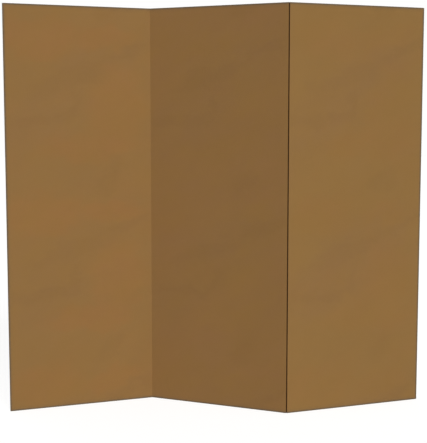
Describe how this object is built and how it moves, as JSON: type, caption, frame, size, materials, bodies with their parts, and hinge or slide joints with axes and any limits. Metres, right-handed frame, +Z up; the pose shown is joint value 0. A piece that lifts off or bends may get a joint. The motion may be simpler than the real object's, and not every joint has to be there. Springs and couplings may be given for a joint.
{
  "type": "folding room screen",
  "caption": "Free-standing folding screen of kraft corrugated board. Its flat leaves turn on slit-scored paper folds, so it stands in a zigzag or closes flat.",
  "frame": {"origin": "on the floor, under the centre of the middle leaf, which is the centre of the standing screen's footprint", "axes": "+X along the row of leaves, towards the right leaf; +Y towards the front, where the face paper is; +Z up. The kraft back faces -Y."},
  "size_m": [1.8838, 0.2552, 1.829],
  "materials": {
    "kraft_liner": "matt brown kraft, faintly mottled",
    "kraft_fluting": "matt unbleached fluting paper",
    "face_paper": "matt bare off-white paper"
  },
  "bodies": {
    "middle_leaf": {"middle_back_liner": "kraft_liner", "middle_back_fluting": "kraft_fluting", "middle_centre_liner": "kraft_fluting", "middle_front_fluting": "kraft_fluting", "middle_front_liner": "kraft_liner", "middle_face_paper": "face_paper", "left_fold_liner": "kraft_liner", "right_fold_liner": "kraft_liner", "right_fold_face_paper": "face_paper"},
    "left_leaf": {"left_back_liner": "kraft_liner", "left_back_fluting": "kraft_fluting", "left_centre_liner": "kraft_fluting", "left_front_fluting": "kraft_fluting", "left_front_liner": "kraft_liner", "left_face_paper": "face_paper"},
    "right_leaf": {"right_back_liner": "kraft_liner", "right_back_fluting": "kraft_fluting", "right_centre_liner": "kraft_fluting", "right_front_fluting": "kraft_fluting", "right_front_liner": "kraft_liner", "right_face_paper": "face_paper"}
  },
  "joints": [
    {"name": "left_fold", "type": "hinge", "parent": "middle_leaf", "child": "left_leaf", "pos_m": [-0.3141, 0.12146, 0], "axis": [0, 0, 1], "range_deg": [-43.5, 136.5], "deforming": ["left_fold_liner"]},
    {"name": "right_fold", "type": "hinge", "parent": "middle_leaf", "child": "right_leaf", "pos_m": [0.3141, -0.12146, 0], "axis": [0, 0, 1], "range_deg": [-43.5, 136.5], "deforming": ["right_fold_liner", "right_fold_face_paper"]}
  ]
}
